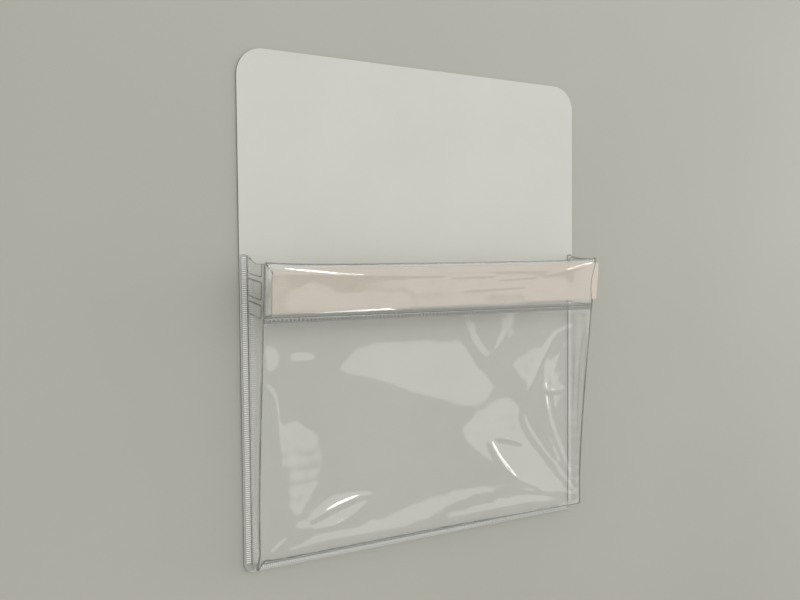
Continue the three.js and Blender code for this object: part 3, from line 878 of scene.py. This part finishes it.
def film_material(name, tint, reflect, line_shade_alpha):
    """Clear film: it lets most light through face on and mirrors more at a glancing angle.

    Along the line mask it is painted darker and more solid, as shade at folds, creases and cuts.
    """
    material, nodes, links, shader = new_material(name)
    haze = grain(nodes, links, 60, 4)
    body = colour_ramp(nodes, links, haze, tuple(c * 0.95 for c in tint), tint)
    line = nodes.new("ShaderNodeAttribute")
    line.attribute_name = "film_line_shade"
    mix = nodes.new("ShaderNodeMix")
    mix.data_type = "RGBA"
    # Painted shade: the line mask mixes the dark line tint into the film's colour
    mix.inputs["B"].default_value = LINE_SHADE_TINT
    links.new(line.outputs["Fac"], mix.inputs["Factor"])
    links.new(body, mix.inputs["A"])
    links.new(mix.outputs["Result"], shader.inputs["Base Color"])
    shader.inputs["Metallic"].default_value = FILM_MIRROR
    shader.inputs["Roughness"].default_value = FILM_ROUGHNESS
    facing = nodes.new("ShaderNodeLayerWeight")
    facing.inputs["Blend"].default_value = 0.5
    curve = math_node(nodes, links, "POWER", facing.outputs["Facing"], 4.0)
    clear = map_range(nodes, links, curve, reflect, GRAZING_ALPHA)
    # Painted shade: the film is also made more solid along the line mask
    lined = map_range(nodes, links, line.outputs["Fac"], 0.0, line_shade_alpha)
    links.new(math_node(nodes, links, "MAXIMUM", clear, lined), shader.inputs["Alpha"])
    add_bump(nodes, links, shader, grain(nodes, links, 38, 2), 0.1, 0.0005)
    return material


def weld_material():
    """Film welded flat on the sheet: the ladder's raised rungs are painted white as their highlight, over
    greyer film between them.
    """
    material, nodes, links, shader = new_material("ladder weld")
    place = nodes.new("ShaderNodeTexCoord")
    split = nodes.new("ShaderNodeSeparateXYZ")
    links.new(place.outputs["Object"], split.inputs["Vector"])
    flat = FACE_Y - WELD_FLAT
    height = map_range(nodes, links, split.outputs["Y"], 0.0, 1.0, flat, flat - WELD_RISE)
    # Painted highlight: the rungs grow lighter and more solid with their height
    links.new(colour_ramp(nodes, links, height, (0.60, 0.61, 0.57), (0.98, 0.98, 0.96), 0.0, 0.6),
              shader.inputs["Base Color"])
    shader.inputs["Roughness"].default_value = 0.22
    links.new(map_range(nodes, links, height, 0.62, 0.95), shader.inputs["Alpha"])
    add_bump(nodes, links, shader, grain(nodes, links, 400, 2), 0.1, 0.00005)
    return material


def fold_material():
    """The rolled folds: glossier than the film's faces, and painted dark grey as the shade that a tight fold
    of clear film shows.
    """
    material, nodes, links, shader = new_material("film fold")
    # Painted shade: the dark grey of the rolled folds
    links.new(colour_ramp(nodes, links, grain(nodes, links, 90, 3), (0.20, 0.21, 0.19), (0.42, 0.43, 0.40)),
              shader.inputs["Base Color"])
    shader.inputs["Roughness"].default_value = 0.16
    shader.inputs["Specular IOR Level"].default_value = 1.0
    facing = nodes.new("ShaderNodeLayerWeight")
    facing.inputs["Blend"].default_value = 0.5
    links.new(map_range(nodes, links, facing.outputs["Facing"], 0.22, 0.85), shader.inputs["Alpha"])
    return material


def card_material():
    material, nodes, links, shader = new_material("beige card")
    fibre = grain(nodes, links, 500, 4, (1, 1, 3))
    links.new(colour_ramp(nodes, links, fibre, (0.605, 0.535, 0.458), (0.655, 0.586, 0.508)),
              shader.inputs["Base Color"])
    shader.inputs["Roughness"].default_value = 0.7
    add_bump(nodes, links, shader, fibre, 0.2, 0.00006)
    return material


def board_material():
    """The pale board behind: solid from the front, open from behind so the magnet's back can be seen."""
    material, nodes, links, shader = new_material("pale board")
    cloud = grain(nodes, links, 2.2, 3)
    links.new(colour_ramp(nodes, links, cloud, (0.385, 0.382, 0.337), (0.42, 0.417, 0.372)),
              shader.inputs["Base Color"])
    shader.inputs["Roughness"].default_value = 0.6
    add_bump(nodes, links, shader, grain(nodes, links, 700, 2), 0.1, 0.0001)
    clear = nodes.new("ShaderNodeBsdfTransparent")
    geometry = nodes.new("ShaderNodeNewGeometry")
    mix = nodes.new("ShaderNodeMixShader")
    links.new(geometry.outputs["Backfacing"], mix.inputs["Fac"])
    links.new(shader.outputs["BSDF"], mix.inputs[1])
    links.new(clear.outputs["BSDF"], mix.inputs[2])
    links.new(mix.outputs["Shader"], nodes["Material Output"].inputs["Surface"])
    return material


def dress(obj, material):
    obj.data.materials.clear()
    obj.data.materials.append(material)


# The pieces

clear_film = film_material("clear film", (0.93, 0.935, 0.90), reflect=0.145, line_shade_alpha=0.6)
sleeve_clear = film_material("clear sleeve film", (0.94, 0.94, 0.91), reflect=0.12, line_shade_alpha=0.65)
folds = fold_material()
weld_film = weld_material()

dress(frame["nodes"]["white_face_sheet"], face_material())
dress(frame["nodes"]["magnet_sheet"], magnet_material())
for flange in ("left_flange", "right_flange", "foot_flange"):
    dress(frame["nodes"][flange], weld_film)

for crease in (side_crease(-1), side_crease(1), foot_crease()):
    dress(crease, folds)
    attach(crease, "front")

front = front_film()
dress(front, clear_film)
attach(front, "front")
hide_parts("front_panel")

sleeve = sleeve_film()
dress(sleeve, sleeve_clear)
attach(sleeve, "front")
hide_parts("sleeve_window")

card = card_object()
dress(card, card_material())
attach(card, "card")
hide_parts("label_card")

floor_piece = floor_film()
dress(floor_piece, clear_film)
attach(floor_piece, "backing")
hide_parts("floor_panel")

for side, nodes in ((-1, ("left_gusset", "left_gusset_band")), (1, ("right_gusset", "right_gusset_band"))):
    gusset, weights = gusset_film(side)
    dress(gusset, clear_film)
    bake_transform(gusset)
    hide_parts(*nodes)


# Board, lamps and camera

def stage_plane(name, corners, faces, material):
    mesh = bpy.data.meshes.new(name)
    mesh.from_pydata(corners, [], faces)
    mesh.update()
    obj = bpy.data.objects.new(name, mesh)
    bpy.context.scene.collection.objects.link(obj)
    dress(obj, material)
    return obj


def board():
    """A wide board behind the magnet, with a hole a little smaller than it so that its back can be seen."""
    y = SHEET_HIGH.y + BOARD_GAP
    rim = np.unique(np.round(node_points("magnet_sheet")[:, [0, 2]], 6), axis=0)
    rim = rim[np.argsort(np.arctan2(rim[:, 1], rim[:, 0]))]
    hole = rim * (1 - BOARD_LAP / np.linalg.norm(rim, axis=1, keepdims=True))
    edge = hole * BOARD_REACH / np.abs(hole).max(axis=1, keepdims=True)
    count = len(rim)
    corners = [(x, y, z) for x, z in np.vstack([edge, hole])]
    faces = [(i, (i + 1) % count, (i + 1) % count + count, i + count) for i in range(count)]
    return stage_plane("board", corners, faces, board_material())


def area_lamp(name, place, aim, size, power):
    lamp = bpy.data.lights.new(name, "AREA")
    lamp.shape = "RECTANGLE"
    lamp.size, lamp.size_y = size
    lamp.energy = power
    obj = bpy.data.objects.new(name, lamp)
    obj.location = place
    obj.rotation_mode = "QUATERNION"
    obj.rotation_quaternion = (Vector(aim) - Vector(place)).to_track_quat("-Z", "Y")
    bpy.context.scene.collection.objects.link(obj)
    return obj


def tone_ramp(nodes, links, source, tones):
    """A grey ramp over a direction's part from -1 to 1."""
    ramp = nodes.new("ShaderNodeValToRGB")
    stops = ramp.color_ramp.elements
    while len(stops) < len(tones):
        stops.new(0.5)
    for stop, (place, tone) in zip(stops, tones):
        stop.position = (place + 1) / 2
        stop.color = (tone, tone * 0.995, tone * 0.98, 1)
    links.new(map_range(nodes, links, source, 0.0, 1.0, -1.0, 1.0), ramp.inputs["Fac"])
    return ramp.outputs["Color"]


def world_light():
    """An even pale room with a dimmer lower part, a lighter left wall and a darker band before the pocket."""
    world = bpy.data.worlds.new("studio")
    world.use_nodes = True
    nodes, links = world.node_tree.nodes, world.node_tree.links
    background = nodes["Background"]
    place = nodes.new("ShaderNodeTexCoord")
    split = nodes.new("ShaderNodeSeparateXYZ")
    links.new(place.outputs["Generated"], split.inputs["Vector"])
    mix = nodes.new("ShaderNodeMix")
    mix.data_type = "RGBA"
    mix.blend_type = "MULTIPLY"
    mix.inputs["Factor"].default_value = 1.0
    links.new(tone_ramp(nodes, links, split.outputs["Z"], ROOM), mix.inputs["A"])
    links.new(tone_ramp(nodes, links, split.outputs["X"], SIDEWAYS), mix.inputs["B"])
    links.new(mix.outputs["Result"], background.inputs["Color"])
    bpy.context.scene.world = world


board()
world_light()
for lamp_row in LAMPS:
    area_lamp(*lamp_row)

camera_data = bpy.data.cameras.new("camera")
camera_data.lens = CAMERA_LENS
camera_data.sensor_width = SENSOR_WIDTH
camera_data.clip_start = CAMERA_NEAR
camera = bpy.data.objects.new("camera", camera_data)
camera.rotation_mode = "QUATERNION"
camera.location = CAMERA_PLACE
camera_turn = Matrix.Rotation(CAMERA_ROLL, 3, "Z").to_quaternion()
camera.rotation_quaternion = CAMERA_AIM.to_track_quat("-Z", "Y") @ camera_turn
bpy.context.scene.collection.objects.link(camera)
bpy.context.scene.camera = camera
bpy.context.scene.view_settings.view_transform = "Standard"
